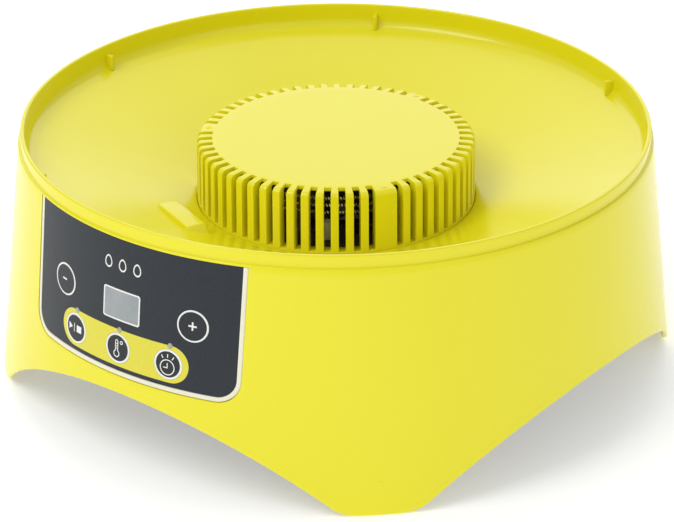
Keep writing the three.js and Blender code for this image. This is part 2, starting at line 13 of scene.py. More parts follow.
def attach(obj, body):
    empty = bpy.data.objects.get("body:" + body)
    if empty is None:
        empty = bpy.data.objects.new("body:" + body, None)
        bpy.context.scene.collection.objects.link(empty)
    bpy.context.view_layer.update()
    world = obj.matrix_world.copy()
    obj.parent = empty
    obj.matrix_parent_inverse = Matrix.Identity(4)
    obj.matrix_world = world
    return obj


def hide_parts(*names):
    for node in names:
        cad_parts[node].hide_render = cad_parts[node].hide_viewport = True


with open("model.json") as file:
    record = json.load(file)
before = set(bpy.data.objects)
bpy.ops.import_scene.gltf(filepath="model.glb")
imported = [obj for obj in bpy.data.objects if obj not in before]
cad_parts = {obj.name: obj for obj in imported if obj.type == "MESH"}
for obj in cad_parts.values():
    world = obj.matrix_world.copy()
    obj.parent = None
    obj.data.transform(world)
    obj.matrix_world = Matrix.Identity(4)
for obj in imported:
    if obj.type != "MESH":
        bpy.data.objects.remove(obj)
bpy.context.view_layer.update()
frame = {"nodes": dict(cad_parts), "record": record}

MM = 0.001
NODES = frame["nodes"]

# ------------------------------------------------------------------ driving dimensions

RIM_TOP = 131.0
RIM_OUTER = 160.0
RIM_INNER = 157.8
STEP_Z = 124.4
SKIRT_TOP = 161.3
SKIRT_FOOT = 175.0
HEM_Z = 0.6
WALL = 2.4
BOWL_OUTER = (155.8, 118.0)
BOWL_INNER = (71.8, 88.4)
BOWL_THICK = 2.5
ARCH_RADIUS = 158.0
ARCH_TOP = 45.0
ARCH_JOIN = 106.6                 # the arch circle blends into the foot from here
ARCH_FOOT = 115.5                 # to here

TOWER_R = 71.1
TOWER_TOP = 120.5
TOWER_INNER = 65.1
TOWER_NEST = 68.6
SLOT_COUNT = 60
SLOT_HALF = 1.75
SLOT_TURN = -1.3
POSTS = (10, 30, 50)

PANEL_TOP = 123.4                 # a lip of the skirt is left above the panel
PANEL = (65.3, 53.8, 12.4)        # half width, bottom, lower corner radius
BORDER = (65.0, 54.1, 12.1)
FILM = (62.7, 56.7, 9.5)
FILM_DEPTH = 0.5
PLATE_TOP = 113.7
UPPER_KEY = (40.4, 89.8, 8.0)
LOWER_KEY = (29.7, 67.9, 7.6)
LOWER_ROW_X = -1.2                # the lower keys and lamps sit a little left of the middle
LAMP_ROW_X = -0.5
WINDOW = (11.5, 7.9, 89.9, 1.3)   # half width, half height, centre height, corner radius
LAMP_Z = 77.5
LAMP_R = 1.3
EGG_Z = 110.2                     # three egg outlines printed above the window
EGG_PITCH = 9.0
EGG_HEIGHT = 6.4
EGG_LINE = 0.8
BOARD_DEPTH = 20.0

COVER_Z = 46.3
COVER_THICK = 2.4
COVER_R = 165.2
BOSS_R = 140.0
FOOT_R = 165.0
GLAND_Z = 66.0
LEGS = (45, 135, 225, 315)

SLOPE = (SKIRT_FOOT - SKIRT_TOP) / STEP_Z


def skirt_radius(z):
    return SKIRT_FOOT - SLOPE * z


def bowl_z(r):
    share = (r - BOWL_INNER[0]) / (BOWL_OUTER[0] - BOWL_INNER[0])
    return BOWL_INNER[1] + (BOWL_OUTER[1] - BOWL_INNER[1]) * share


def polar(r, azimuth, z):
    a = math.radians(azimuth)
    return Vector((r * math.sin(a), -r * math.cos(a), z))


# ------------------------------------------------------------------ materials

def node_material(name, colour, second, roughness, rough_span=0.08, tone_scale=40.0,
                  grain_scale=2600.0, grain=0.05, metallic=0.0, coat=0.0, **sockets):
    """Procedural finish: two close tones, uneven gloss and a fine moulded or drawn grain."""
    material = bpy.data.materials.new(name)
    material.use_nodes = True
    nodes, links = material.node_tree.nodes, material.node_tree.links
    shader = nodes["Principled BSDF"]
    shader.inputs["Metallic"].default_value = metallic
    shader.inputs["Coat Weight"].default_value = coat
    for socket, value in sockets.items():
        shader.inputs[socket.replace("_", " ")].default_value = value
    place = nodes.new("ShaderNodeTexCoord")

    def noise(scale, detail):
        node = nodes.new("ShaderNodeTexNoise")
        node.inputs["Scale"].default_value = scale
        node.inputs["Detail"].default_value = detail
        links.new(place.outputs["Object"], node.inputs["Vector"])
        return node

    tone = noise(tone_scale, 4.0)
    ramp = nodes.new("ShaderNodeValToRGB")
    ramp.color_ramp.elements[0].position = 0.32
    ramp.color_ramp.elements[0].color = (*second, 1)
    ramp.color_ramp.elements[1].position = 0.68
    ramp.color_ramp.elements[1].color = (*colour, 1)
    links.new(tone.outputs["Fac"], ramp.inputs["Fac"])
    links.new(ramp.outputs["Color"], shader.inputs["Base Color"])

    gloss = noise(tone_scale * 6, 3.0)
    spread = nodes.new("ShaderNodeMapRange")
    spread.inputs["From Min"].default_value = 0.3
    spread.inputs["From Max"].default_value = 0.7
    spread.inputs["To Min"].default_value = roughness - rough_span / 2
    spread.inputs["To Max"].default_value = roughness + rough_span / 2
    links.new(gloss.outputs["Fac"], spread.inputs["Value"])
    links.new(spread.outputs["Result"], shader.inputs["Roughness"])

    fine = noise(grain_scale, 2.0)
    bump = nodes.new("ShaderNodeBump")
    bump.inputs["Strength"].default_value = grain
    bump.inputs["Distance"].default_value = 0.0002
    links.new(fine.outputs["Fac"], bump.inputs["Height"])
    links.new(bump.outputs["Normal"], shader.inputs["Normal"])
    return material


FINISH = {
    "yellow_plastic": node_material(
        "yellow_plastic", (0.86, 0.79, 0.0125), (0.85, 0.778, 0.011), 0.2, 0.03, tone_scale=9.0,
        grain_scale=700.0, grain=0.012),
    "cream_plastic": node_material(
        "cream_plastic", (0.86, 0.84, 0.68), (0.83, 0.81, 0.65), 0.38),
    "panel_film": node_material(
        "panel_film", (0.021, 0.027, 0.035), (0.015, 0.021, 0.028), 0.42, 0.06,
        tone_scale=900.0, grain_scale=5200.0, grain=0.25, Specular_IOR_Level=0.33),
    "key_plastic": node_material(
        "key_plastic", (0.020, 0.024, 0.029), (0.015, 0.019, 0.023), 0.42, 0.06,
        tone_scale=900.0, grain_scale=5200.0, grain=0.2, Specular_IOR_Level=0.35),
    "smoked_window": node_material(
        "smoked_window", (0.34, 0.37, 0.38), (0.25, 0.28, 0.29), 0.22, 0.05, tone_scale=55.0,
        coat=0.4),
    "light_pipe": node_material(
        "light_pipe", (0.42, 0.42, 0.36), (0.34, 0.34, 0.29), 0.3, tone_scale=500.0, coat=0.3),
    "black_plastic": node_material(
        "black_plastic", (0.022, 0.022, 0.024), (0.016, 0.016, 0.018), 0.5, 0.12, grain=0.3),
    "circuit_board": node_material(
        "circuit_board", (0.03, 0.17, 0.07), (0.02, 0.12, 0.05), 0.4, tone_scale=300.0, coat=0.3),
    "rubber": node_material(
        "rubber", (0.024, 0.024, 0.024), (0.016, 0.016, 0.016), 0.85, 0.1, grain=0.4),
    "screw_steel": node_material(
        "screw_steel", (0.62, 0.62, 0.64), (0.48, 0.48, 0.50), 0.34, 0.14, tone_scale=400.0,
        metallic=1.0),
    "sheet_steel": node_material(
        "sheet_steel", (0.55, 0.56, 0.58), (0.45, 0.46, 0.48), 0.4, 0.16, tone_scale=200.0,
        metallic=1.0),
    "shaft_steel": node_material(
        "shaft_steel", (0.66, 0.66, 0.68), (0.55, 0.55, 0.58), 0.28, 0.12, tone_scale=300.0,
        metallic=1.0),
    "lamination": node_material(
        "lamination", (0.10, 0.10, 0.11), (0.06, 0.06, 0.07), 0.5, 0.16, tone_scale=600.0),
    # Motor winding: partly the wire's own enamelled copper colour, partly painted shade. It is
    # darkened so the winding reads dark inside the housing.
    "copper_winding": node_material(
        "copper_winding", (0.52, 0.20, 0.08), (0.38, 0.13, 0.05), 0.34, 0.14, tone_scale=900.0,
        metallic=1.0, grain=0.5),
    # Mica heater frame: painted shade. The colour is darkened far below real mica so the inside of
    # the tower reads dim through the slots.
    "mica": node_material(
        "mica", (0.085, 0.075, 0.06), (0.05, 0.045, 0.036), 0.5, 0.12, tone_scale=260.0, grain=0.4),
    # Heater wire: partly its own bright metal, partly painted highlight. The colour is raised above
    # real resistance wire so it glints inside the dark tower.
    "heater_wire": node_material(
        "heater_wire", (0.92, 0.91, 0.88), (0.80, 0.78, 0.74), 0.2, 0.1, tone_scale=500.0,
        metallic=1.0),
    "white_plastic": node_material(
        "white_plastic", (0.80, 0.80, 0.77), (0.74, 0.74, 0.71), 0.45),
    "white_sleeve": node_material(
        "white_sleeve", (0.74, 0.74, 0.70), (0.66, 0.66, 0.62), 0.55, tone_scale=300.0),
    "black_sleeve": node_material(
        "black_sleeve", (0.03, 0.03, 0.03), (0.02, 0.02, 0.02), 0.55, tone_scale=300.0),
    "blue_plastic": node_material(
        "blue_plastic", (0.03, 0.09, 0.30), (0.025, 0.075, 0.26), 0.32),
}
WHITE_PRINT = node_material(
    "white_print", (0.88, 0.88, 0.85), (0.82, 0.82, 0.79), 0.4, 0.06, tone_scale=700.0)
YELLOW_PRINT = node_material(
    "yellow_print", (0.76, 0.70, 0.045), (0.73, 0.67, 0.04), 0.4, 0.06, tone_scale=700.0,
    grain_scale=5200.0, grain=0.2)
FLOOR_FINISH = node_material(
    "studio_floor", (0.93, 0.93, 0.93), (0.92, 0.92, 0.92), 0.8, 0.05, tone_scale=3.0, grain=0.0,
    Emission_Color=(1.0, 1.0, 1.0, 1.0), Emission_Strength=0.36)

# ------------------------------------------------------------------ mesh helpers


def skin(bm, rows, wrap_rows=False, wrap_columns=True, material=0):
    """Quads between neighbouring rows of points; returns the rows of vertices."""
    grid = [[bm.verts.new(point) for point in row] for row in rows]
    pairs = list(zip(grid, grid[1:]))
    if wrap_rows:
        pairs.append((grid[-1], grid[0]))
    for low, high in pairs:
        count = len(low) if wrap_columns else len(low) - 1
        for i in range(count):
            j = (i + 1) % len(low)
            face = bm.faces.new((low[i], low[j], high[j], high[i]))
            face.material_index = material
    return grid


def revolve(bm, profile, segments, centre=(0, 0), material=0):
    """Closed turned body about a vertical axis: profile is (radius, height) from axis to axis."""
    rows = []
    for r, z in profile:
        rows.append([
            Vector((centre[0], centre[1], 0)) + polar(r, 360.0 * i / segments, z)
            for i in range(segments)])
    grid = skin(bm, rows, material=material)
    for ring in (grid[0], grid[-1]):
        bm.faces.new(ring).material_index = material


def piece(name, bm, materials, sharp=34.0):
    """Writes a mesh laid out in millimetres as an object in metres, smooth up to `sharp` degrees."""
    bmesh.ops.recalc_face_normals(bm, faces=bm.faces)
    bm.transform(Matrix.Scale(MM, 4))
    mesh = bpy.data.meshes.new(name)
    bm.to_mesh(mesh)
    bm.free()
    for material in materials:
        mesh.materials.append(material)
    mesh.shade_smooth()
    mesh.set_sharp_from_angle(angle=math.radians(sharp))
    obj = bpy.data.objects.new(name, mesh)
    bpy.context.scene.collection.objects.link(obj)
    return obj


def apply_modifier(obj, kind, **settings):
    modifier = obj.modifiers.new(kind.lower(), kind)
    for key, value in settings.items():
        setattr(modifier, key, value)
    bpy.context.view_layer.objects.active = obj
    bpy.ops.object.modifier_apply(modifier=modifier.name)


def combine(obj, tool, operation):
    """Exact boolean with a helper body that is thrown away."""
    apply_modifier(obj, "BOOLEAN", operation=operation, solver="EXACT", object=tool)
    bpy.data.objects.remove(tool)


def declare(obj, body, slot, *nodes):
    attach(obj, body)
    if nodes:
        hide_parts(*nodes)
    return obj


def arc(cx, cz, r, start, stop, steps):
    """Points on an arc, angles in degrees, both ends included."""
    angles = [math.radians(start + (stop - start) * i / steps) for i in range(steps + 1)]
    return [(cx + r * math.cos(a), cz + r * math.sin(a)) for a in angles]


def lerp(a, b, share):
    return a + (b - a) * share


# ------------------------------------------------------------------ bodies laid on the cone

def cone_point(x, z, depth):
    """Point across and up the panel, at a depth below the flared skirt's surface."""
    r = skirt_radius(z) - depth
    return Vector((x, -math.sqrt(r * r - x * x), z))


def inside(x, z, loops):
    """Even-odd rule over all the loops of a region."""
    hit = False
    for loop in loops:
        for (x0, z0), (x1, z1) in zip(loop, loop[1:] + loop[:1]):
            if (z0 > z) != (z1 > z) and x < (x1 - x0) * (z - z0) / (z1 - z0) + x0:
                hit = not hit
    return hit


def near_edge(x, z, loops, margin):
    for loop in loops:
        for (x0, z0), (x1, z1) in zip(loop, loop[1:] + loop[:1]):
            dx, dz = x1 - x0, z1 - z0
            t = max(0.0, min(1.0, ((x - x0) * dx + (z - z0) * dz) / (dx * dx + dz * dz)))
            if math.hypot(x - x0 - t * dx, z - z0 - t * dz) < margin:
                return True
    return False


def subdivided(loop, longest):
    """The loop with its long edges cut up, so that it follows a curved surface."""
    points = []
    for (x0, z0), (x1, z1) in zip(loop, loop[1:] + loop[:1]):
        parts = max(1, math.ceil(math.hypot(x1 - x0, z1 - z0) / longest))
        points += [(lerp(x0, x1, k / parts), lerp(z0, z1, k / parts)) for k in range(parts)]
    return points


def sheet(bm, loops, near, far, spacing=2.0, material=0, place=cone_point):
    """Closed body over a flat region with holes, from depth `near` to depth `far`."""
    loops = [subdivided(loop, spacing) for loop in loops]
    points, edges = [], []
    for loop in loops:
        first = len(points)
        points += loop
        edges += [(first + i, first + (i + 1) % len(loop)) for i in range(len(loop))]
    xs = [p[0] for p in points]
    zs = [p[1] for p in points]
    for i in range(1, int((max(xs) - min(xs)) / spacing) + 1):
        for j in range(1, int((max(zs) - min(zs)) / spacing) + 1):
            x, z = min(xs) + i * spacing, min(zs) + j * spacing
            if inside(x, z, loops) and not near_edge(x, z, loops, spacing * 0.45):
                points.append((x, z))
    flat = [Vector(p) for p in points]
    verts, _, triangles, _, _, _ = delaunay_2d_cdt(flat, edges, [], 0, 1e-5)
    kept = []
    for t in triangles:
        x = sum(verts[i].x for i in t) / 3
        z = sum(verts[i].y for i in t) / 3
        if inside(x, z, loops):
            kept.append(t)
    used = sorted({i for t in kept for i in t})
    depth_at = far if callable(far) else (lambda z: far)
    front = {i: bm.verts.new(place(verts[i].x, verts[i].y, near)) for i in used}
    back = {i: bm.verts.new(place(verts[i].x, verts[i].y, depth_at(verts[i].y))) for i in used}
    border = {}
    for t in kept:
        bm.faces.new([front[i] for i in t]).material_index = material
        bm.faces.new([back[i] for i in reversed(t)]).material_index = material
        for a, b in zip(t, t[1:] + t[:1]):
            border[(a, b)] = True
    for a, b in border:
        if (b, a) not in border:
            bm.faces.new((front[b], front[a], back[a], back[b])).material_index = material


def circle(cx, cz, r, count=40):
    return [(cx + r * math.cos(2 * math.pi * i / count), cz + r * math.sin(2 * math.pi * i / count))
            for i in range(count)]


def rectangle(cx, cz, half_x, half_z, corner=0.0, steps=6):
    if corner == 0:
        return [(cx - half_x, cz - half_z), (cx + half_x, cz - half_z),
                (cx + half_x, cz + half_z), (cx - half_x, cz + half_z)]
    loop = []
    for sx, sz, start in ((1, -1, -90), (1, 1, 0), (-1, 1, 90), (-1, -1, 180)):
        loop += arc(cx + sx * (half_x - corner), cz + sz * (half_z - corner), corner,
                    start, start + 90, steps)
    return loop


def stroke(x0, z0, x1, z1, width):
    """Straight line of a print, as a thin rectangle."""
    length = math.hypot(x1 - x0, z1 - z0)
    nx, nz = -(z1 - z0) / length * width / 2, (x1 - x0) / length * width / 2
    return [(x0 - nx, z0 - nz), (x1 - nx, z1 - nz), (x1 + nx, z1 + nz), (x0 + nx, z0 + nz)]


def panel_outline(size, top, steps=10):
    """Square top corners, rounded lower corners."""
    half, bottom, corner = size
    left = arc(-half + corner, bottom + corner, corner, 180, 270, steps)
    right = arc(half - corner, bottom + corner, corner, 270, 360, steps)
    return [(-half, top)] + left + right + [(half, top)]


def cone_disc(bm, cx, cz, profile, segments=56, rings=()):
    """Turned body laid on the cone; profile is (radius, depth) from the middle of its face.
    Bands between the profile steps listed in `rings` get the second material."""
    rows = []
    for r, depth in profile:
        rows.append([cone_point(cx + r * math.cos(2 * math.pi * i / segments),
                                cz + r * math.sin(2 * math.pi * i / segments), depth)
                     for i in range(segments)])
    grid = [[bm.verts.new(p) for p in row] for row in rows]
    for k, (low, high) in enumerate(zip(grid, grid[1:])):
        for i in range(segments):
            j = (i + 1) % segments
            bm.faces.new((low[i], low[j], high[j], high[i])).material_index = int(k in rings)
    centre = bm.verts.new(cone_point(cx, cz, profile[0][1]))
    for i in range(segments):
        bm.faces.new((centre, grid[0][i], grid[0][(i + 1) % segments]))
    bm.faces.new(grid[-1])


# ------------------------------------------------------------------ housing

def arch_height(x):
    """Height of the arch at a distance from its middle, square on."""
    x = abs(x)
    centre = ARCH_TOP - ARCH_RADIUS
    if x <= ARCH_JOIN:
        return centre + math.sqrt(ARCH_RADIUS ** 2 - x * x)
    if x >= ARCH_FOOT:
        return HEM_Z
    join_z = centre + math.sqrt(ARCH_RADIUS ** 2 - ARCH_JOIN ** 2)
    pull = 111.2                  # the blend's control point
    a, b, c = ARCH_FOOT - 2 * pull + ARCH_JOIN, 2 * (pull - ARCH_FOOT), ARCH_FOOT - x
    t = (-b - math.sqrt(b * b - 4 * a * c)) / (2 * a)
    return (1 - t) ** 2 * HEM_Z + 2 * t * (1 - t) * HEM_Z + t * t * join_z


def hem_height(azimuth):
    a = math.radians(azimuth)
    h = HEM_Z
    for _ in range(8):
        r = skirt_radius(h)
        h = max(HEM_Z, arch_height(r * math.sin(a)), arch_height(r * math.cos(a)))
    return h


def housing_section(h):
    """Closed section at one azimuth, as (radius, height), with the hem at height h."""
    edge = BOWL_INNER[0]
    points = [(edge + 0.3, 86.05), (edge, 86.4), (edge, 87.8), (edge + 0.15, 88.15),
              (edge + 0.5, 88.45), (edge + 1.0, bowl_z(edge + 1.0))]
    points += [(r, bowl_z(r)) for r in [74.0 + 4.05 * i for i in range(20)]]
    corner_r, corner_z = RIM_INNER, bowl_z(RIM_INNER)
    for i in range(1, 8):         # fillet between the bowl and the upright inner wall
        t = i / 8
        r = (1 - t) ** 2 * 153.2 + 2 * t * (1 - t) * corner_r + t * t * RIM_INNER
        z = (1 - t) ** 2 * bowl_z(153.2) + 2 * t * (1 - t) * corner_z + t * t * 123.6
        points.append((r, z))
    points += [(RIM_INNER, 124.5), (RIM_INNER, 127.5), (RIM_INNER, RIM_TOP - 0.8)]
    points += arc(RIM_INNER + 0.8, RIM_TOP - 0.8, 0.8, 180, 90, 4)[1:]
    points += arc(RIM_OUTER - 0.8, RIM_TOP - 0.8, 0.8, 90, 0, 4)
    points += [(RIM_OUTER, 127.5), (RIM_OUTER, STEP_Z + 0.5), (RIM_OUTER + 0.15, STEP_Z + 0.12)]
    points += [(RIM_OUTER + 0.5, STEP_Z), (SKIRT_TOP - 0.45, STEP_Z), (SKIRT_TOP - 0.12, 124.2)]
    rows = 24
    for i in range(rows + 1):
        z = lerp(123.9, h + 0.9, i / rows)
        points.append((skirt_radius(z), z))
    outer = skirt_radius(h)
    points += arc(outer - 0.9, h + 0.9, 0.9, 0, -90, 5)[1:]
    points += arc(outer - WALL + 0.5, h + 0.5, 0.5, 270, 180, 3)
    for i in range(1, 11):
        z = lerp(h + 0.5, 113.0, i / 10)
        points.append((skirt_radius(z) - WALL, z))
    points += [(r, bowl_z(r) - BOWL_THICK) for r in (154.0, 140.0, 126.0, 112.0, 98.0, 84.0, 74.0)]
    return points


def helper(name, bm):
    return piece(name, bm, [])


def oriented_block(bm, half, centre, azimuth, taper=(1.0, 1.0)):
    """Block at (radius, height) from the axis; `taper` is how much larger its lower face is."""
    turn = Matrix.Rotation(math.radians(azimuth), 4, "Z")
    corners = []
    for z, wider in ((-1, taper), (1, (1.0, 1.0))):
        for x, y in ((-1, -1), (1, -1), (1, 1), (-1, 1)):
            local = Vector((x * half[0] * wider[0], y * half[1] * wider[1] - centre[0],
                            centre[1] + z * half[2]))
            corners.append(bm.verts.new(turn @ local))
    for face in ((0, 3, 2, 1), (4, 5, 6, 7), (0, 1, 5, 4), (1, 2, 6, 5), (2, 3, 7, 6), (3, 0, 4, 7)):
        bm.faces.new([corners[i] for i in face])


def rounded_blocks(name, blocks, radius, segments=3):
    bm = bmesh.new()
    for block in blocks:
        oriented_block(bm, *block)
    obj = helper(name, bm)
    apply_modifier(obj, "BEVEL", width=radius * MM, segments=segments, limit_method="ANGLE",
                   angle_limit=math.radians(30))
    return obj


def make_housing():
    columns = 600
    sections = [housing_section(hem_height(360.0 * i / columns)) for i in range(columns)]
    rows = []
    for j in range(len(sections[0])):
        rows.append([polar(sections[i][j][0], 360.0 * i / columns, sections[i][j][1])
                     for i in range(columns)])
    bm = bmesh.new()
    skin(bm, rows, wrap_rows=True)
    shell = piece("housing_shell", bm, [FINISH["yellow_plastic"]])

    ribs = [((1.0, 2.6, 4.1), (155.9, 121.8), 30 + 60 * k) for k in range(6)]
    combine(shell, rounded_blocks("ribs", ribs, 0.5), "UNION")
    blister = [((15.6, 5.0, 4.0), (89.4, 94.3), -21.5, (1.36, 1.25))]
    combine(shell, rounded_blocks("blister", blister, 0.6, 3), "UNION")

    bm = bmesh.new()
    sheet(bm, [panel_outline((67.3, 52.7, 13.4), 117.0)], WALL - 0.3, 5.3, 4.0)
    for azimuth in LEGS:
        pad = polar(FOOT_R, azimuth, 0)
        revolve(bm, [(0.1, 1.6), (5.2, 1.6), (5.6, 2.0), (5.6, 11.6), (5.2, 12.0), (0.1, 12.0)], 32,
                (pad.x, pad.y))
        boss = polar(BOSS_R, azimuth, 0)
        top = bowl_z(BOSS_R) - BOWL_THICK + 0.9
        revolve(bm, [(0.1, 49.1), (4.4, 49.1), (4.6, 49.3), (4.6, top), (0.1, top)], 24,
                (boss.x, boss.y))
    combine(shell, helper("backing", bm), "UNION")
    webs = [((1.2, 3.0, 8.0), (170.2, 10.4), azimuth) for azimuth in LEGS]
    combine(shell, rounded_blocks("webs", webs, 0.3, 2), "UNION")

    bm = bmesh.new()
    half = PANEL[0]
    outline = panel_outline(PANEL, PANEL_TOP)
    step = [114.0, 114.1]
    outline = outline[:1] + [(-half, step[1]), (-half, step[0])] + outline[1:-1] \
        + [(half, step[0]), (half, step[1])] + outline[-1:]
    sheet(bm, [outline], -3.0, lambda z: 3.3 if z < 114.05 else 1.6, 3.0)
    combine(shell, helper("pocket", bm), "DIFFERENCE")
    bm = bmesh.new()
    sheet(bm, [rectangle(0, 84, 59.5, 27, 4)], 2.0, 8.0, 5.0)
    combine(shell, helper("window", bm), "DIFFERENCE")

    bm = bmesh.new()
    hole = [[Vector((5.6 * math.cos(2 * math.pi * i / 48), y,
                     GLAND_Z + 5.6 * math.sin(2 * math.pi * i / 48))) for i in range(48)]
            for y in (150.0, 180.0)]
    for ring in skin(bm, hole):
        bm.faces.new(ring)
    combine(shell, helper("gland_hole", bm), "DIFFERENCE")
    shell.data.shade_smooth()
    shell.data.set_sharp_from_angle(angle=math.radians(34))
    return declare(shell, "base", "yellow_plastic", "main_housing")


# ------------------------------------------------------------------ hot-air tower

def make_grille():
    """Cup with 57 slots: an outer and an inner skin, joined along the edges of every slot."""
    top, corner = TOWER_TOP, 2.6
    under = top - 2.2
    pairs = [((40.0, top), (40.0, under)), ((56.0, top), (56.0, under)),
             ((63.2, top), (63.2, under)), ((63.9, top - 0.05), (64.2, under))]
    for i, point in enumerate(arc(TOWER_R - corner, top - 0.3 - corner, corner, 84, 0, 5)):
        pairs.append((point, (TOWER_INNER, under - 0.15 - 0.2 * i)))
    slot_first, slot_last = 2, 12
    pairs += [((71.2, 108.0), (TOWER_INNER, 108.0)), ((71.35, 97.0), (TOWER_INNER, 97.0)),
              ((71.5, 89.0), (TOWER_INNER, 89.0)), ((71.6, 87.4), (TOWER_INNER, 87.2)),
              ((71.65, 85.5), (TOWER_NEST, 87.0)), ((86.0, 85.5), (TOWER_NEST, 82.9)),
              ((86.0, 82.9), (TOWER_NEST + 4, 82.9))]
    across = 4                    # columns from one slot's first edge to the next slot's

    def ring(r, z):
        edge = math.degrees(math.asin(SLOT_HALF / max(r, 30.0)))
        pitch = 360.0 / SLOT_COUNT
        points = []
        for i in range(SLOT_COUNT):
            middle = i * pitch + SLOT_TURN
            right = middle + edge
            land = pitch - 2 * edge
            for azimuth in (middle - edge, right, right + land / 3, right + land * 2 / 3):
                points.append(polar(r, azimuth, z))
        return points

    bm = bmesh.new()
    outer = [[bm.verts.new(p) for p in ring(*pair[0])] for pair in pairs]
    inner = [[bm.verts.new(p) for p in ring(*pair[1])] for pair in pairs]
    count = SLOT_COUNT * across

    def is_open(j, c):
        place, part = divmod(c % count, across)
        return part == 0 and slot_first <= j < slot_last and place not in POSTS

    for j in range(len(pairs) - 1):
        for c in range(count):
            d = (c + 1) % count
            if not is_open(j, c):
                bm.faces.new((outer[j][c], outer[j][d], outer[j + 1][d], outer[j + 1][c]))
                bm.faces.new((inner[j][d], inner[j][c], inner[j + 1][c], inner[j + 1][d]))
                continue
            for e in (c, d):
                bm.faces.new((outer[j][e], outer[j + 1][e], inner[j + 1][e], inner[j][e]))
            if j == slot_first:
                bm.faces.new((outer[j][c], outer[j][d], inner[j][d], inner[j][c]))
            if j == slot_last - 1:
                bm.faces.new((outer[j + 1][c], outer[j + 1][d], inner[j + 1][d], inner[j + 1][c]))
    bm.faces.new(outer[0])
    bm.faces.new(inner[0])
    for c in range(count):
        d = (c + 1) % count
        bm.faces.new((outer[-1][c], outer[-1][d], inner[-1][d], inner[-1][c]))
    grille = piece("tower_grille", bm, [FINISH["yellow_plastic"]])
    apply_modifier(grille, "BEVEL", width=0.75 * MM, segments=3, limit_method="ANGLE",
                   angle_limit=math.radians(40), use_clamp_overlap=True)
    bm = bmesh.new()              # small raised ring on the top of each wide post
    for place in POSTS:
        centre = polar(66.4, place * 360.0 / SLOT_COUNT + SLOT_TURN, 0)
        revolve(bm, [(0.1, top - 0.9), (1.7, top - 0.9), (1.7, top - 0.2), (1.5, top + 0.05),
                     (1.2, top + 0.1), (0.9, top + 0.05), (0.7, top - 0.1), (0.1, top - 0.1)],
                20, (centre.x, centre.y))
    bmesh.ops.recalc_face_normals(bm, faces=bm.faces)
    bm.transform(Matrix.Scale(MM, 4))
    bm.from_mesh(grille.data)
    bm.to_mesh(grille.data)
    bm.free()
    grille.data.shade_smooth()
    grille.data.set_sharp_from_angle(angle=math.radians(40))
    return declare(grille, "base", "yellow_plastic", "outlet_grille")


def make_coil():
    """Fine coiled resistance wire, wound three times round the tower."""
    r, low, pitch, turns = 60.5, 104.2, 3.8, 3
    start = math.pi
    loops, per_loop, sides = 760, 8, 3
    loop_r, wire_r = 1.0, 0.24
    rows = []
    total = loops * per_loop
    for k in range(total + 1):
        major = start + turns * 2 * math.pi * k / total
        minor = 2 * math.pi * k / per_loop
        outward = Vector((math.cos(major), math.sin(major), 0))
        up = Vector((0, 0, 1))
        along = Vector((-math.sin(major), math.cos(major), 0))
        spoke = outward * math.cos(minor) + up * math.sin(minor)
        middle = outward * r + up * (low + pitch * turns * k / total) + spoke * loop_r
        side = (along * 0.9 + (up * math.cos(minor) - outward * math.sin(minor)) * -0.25)
        side.normalize()
        rows.append([middle + (spoke * math.cos(a) + side * math.sin(a)) * wire_r
                     for a in [2 * math.pi * s / sides for s in range(sides)]])
    bm = bmesh.new()
    grid = skin(bm, rows)
    bm.faces.new(grid[0])
    bm.faces.new(grid[-1])
    coil = piece("heater_spiral", bm, [FINISH["heater_wire"]], 100.0)
    return declare(coil, "base", "heater_wire", "heater_coil")


# ------------------------------------------------------------------ control panel

KEYS = {
    "minus": (-UPPER_KEY[0], UPPER_KEY[1], UPPER_KEY[2]),
    "plus": UPPER_KEY,
    "start_stop": (LOWER_ROW_X - LOWER_KEY[0], LOWER_KEY[1], LOWER_KEY[2]),
    "temperature": (LOWER_ROW_X, LOWER_KEY[1], LOWER_KEY[2]),
    "timer": (LOWER_ROW_X + LOWER_KEY[0], LOWER_KEY[1], LOWER_KEY[2]),
}
LAMPS = {
    "start_stop": LAMP_ROW_X - LOWER_KEY[0],
    "temperature": LAMP_ROW_X,
    "timer": LAMP_ROW_X + LOWER_KEY[0],
}
GAP = 0.3
FIELD_X = -0.9                    # middle of the yellow field round the lower keys
FILM_GAP = 0.12                   # the film is cut closer round the keys than the bezel
KEY_FACE = 0.4


def face_drop(x, z):
    r = skirt_radius(z)
    return r - math.sqrt(r * r - x * x)


def panel_holes(clearance):
    holes = [circle(x, z, r + clearance, 56) for x, z, r in KEYS.values()]
    holes += [circle(x, LAMP_Z, LAMP_R + clearance, 24) for x in LAMPS.values()]
    half_x, half_z, z, corner = WINDOW
    holes.append(rectangle(0, z, half_x + clearance, half_z + clearance, corner))
    return holes


